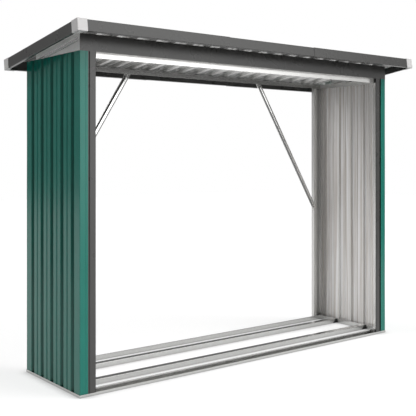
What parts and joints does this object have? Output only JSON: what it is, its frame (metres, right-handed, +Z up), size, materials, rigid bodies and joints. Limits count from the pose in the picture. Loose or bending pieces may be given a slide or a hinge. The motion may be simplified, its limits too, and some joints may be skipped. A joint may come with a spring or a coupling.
{
  "type": "metal log store",
  "caption": "Open-fronted, open-backed steel log store: ribbed end walls, channel base with floor rails, knee braces and a ribbed roof that falls to the back.",
  "frame": {"origin": "on the ground, under the middle of the roof", "axes": "+X along the opening to the right seen from the front, +Y from front to back, +Z up"},
  "size_m": [2.174, 0.7304, 1.5918],
  "materials": {
    "galvanised_steel": "zinc coated, satin",
    "dark_paint": "anthracite paint, satin",
    "green_sheet": "green paint outside, pale primer inside",
    "pale_cap": "pale grey, satin",
    "black_bracket": "black, satin"
  },
  "bodies": {
    "root": {"base_front_rail": "galvanised_steel", "base_rear_rail": "galvanised_steel", "base_left_rail": "galvanised_steel", "base_right_rail": "galvanised_steel", "floor_rail_front": "galvanised_steel", "floor_rail_rear": "galvanised_steel", "floor_rail_brackets": "black_bracket", "front_base_brackets": "black_bracket", "front_top_brackets": "black_bracket", "post_front_left": "dark_paint", "post_front_right": "dark_paint", "post_rear_left": "galvanised_steel", "post_rear_right": "galvanised_steel", "left_wall_sheet": "green_sheet", "right_wall_sheet": "green_sheet", "front_top_rail": "galvanised_steel", "rear_top_rail": "galvanised_steel", "left_top_rail": "galvanised_steel", "right_top_rail": "galvanised_steel", "header_beam": "dark_paint", "left_gable": "galvanised_steel", "right_gable": "galvanised_steel", "brace_left": "galvanised_steel", "brace_right": "galvanised_steel", "roof_sheet_left": "green_sheet", "roof_sheet_middle": "green_sheet", "roof_sheet_right": "green_sheet", "roof_trim_front_left": "dark_paint", "roof_trim_front_middle": "dark_paint", "roof_trim_front_right": "dark_paint", "roof_trim_rear_left": "dark_paint", "roof_trim_rear_middle": "dark_paint", "roof_trim_rear_right": "dark_paint", "roof_trim_left": "dark_paint", "roof_trim_right": "dark_paint", "corner_cap_front_left": "pale_cap", "corner_cap_front_right": "pale_cap", "corner_cap_rear_left": "pale_cap", "corner_cap_rear_right": "pale_cap"}
  },
  "joints": []
}
